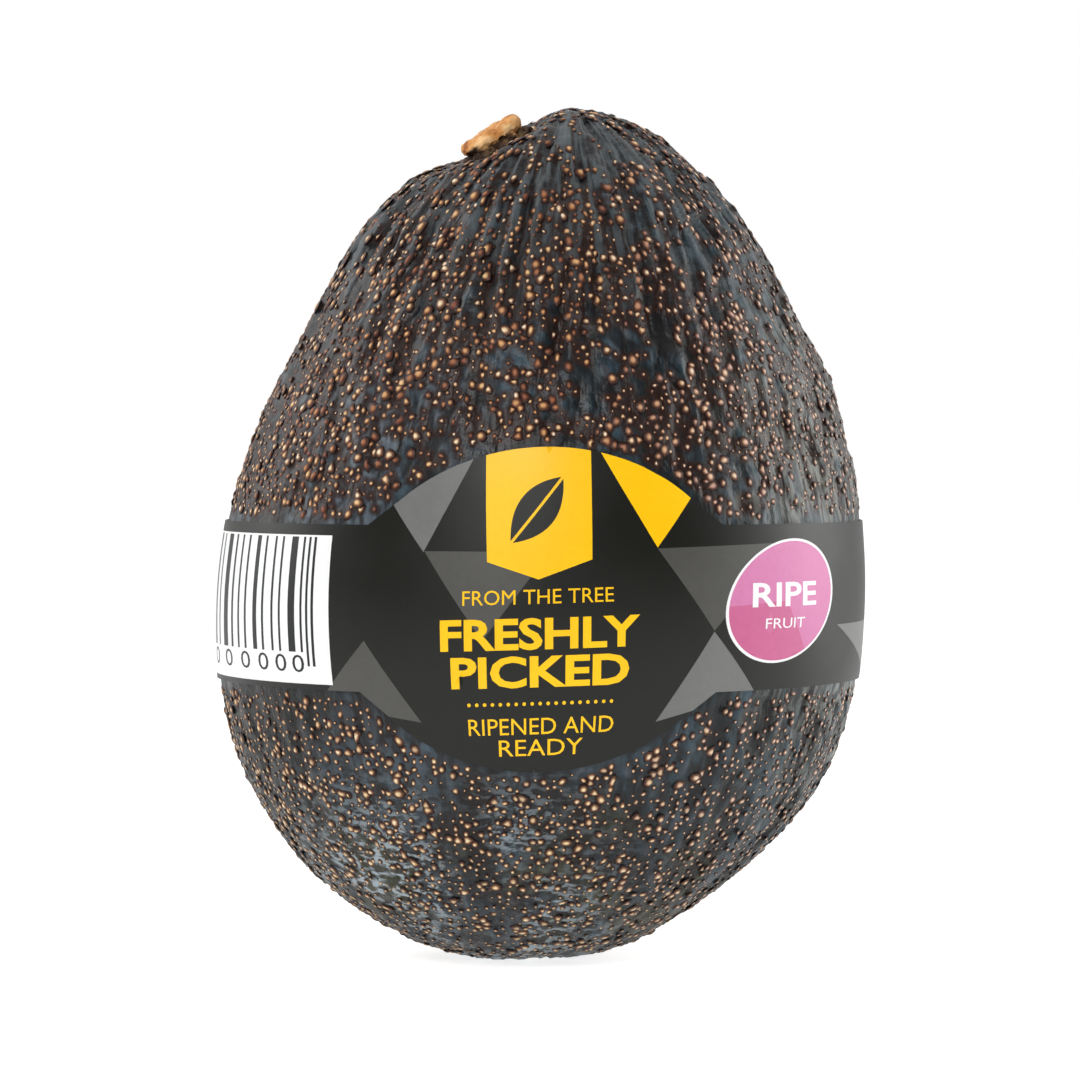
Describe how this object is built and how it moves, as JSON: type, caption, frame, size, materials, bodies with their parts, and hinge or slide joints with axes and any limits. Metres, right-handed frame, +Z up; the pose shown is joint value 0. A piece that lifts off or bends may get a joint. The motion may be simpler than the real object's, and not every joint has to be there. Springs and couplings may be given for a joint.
{
  "type": "avocado",
  "caption": "Whole egg-shaped avocado standing upright, with a woody stem button in a small pit and a paper label band round its girth.",
  "frame": {"origin": "centre of the small flat spot that the fruit stands on", "axes": "+Z up along the fruit's height, -Y towards the middle of the label's round front, +X to its right"},
  "size_m": [0.0745, 0.0721, 0.0968],
  "materials": {
    "avocado_skin": "pebbled, waxy, dark slate and brown with tan lenticels",
    "stem_wood": "dry, corky, unfinished",
    "label_paper": "smooth coated printed paper, half matt"
  },
  "bodies": {
    "root": {"fruit": "avocado_skin", "stem_button": "stem_wood", "label_band": "label_paper"}
  },
  "joints": []
}
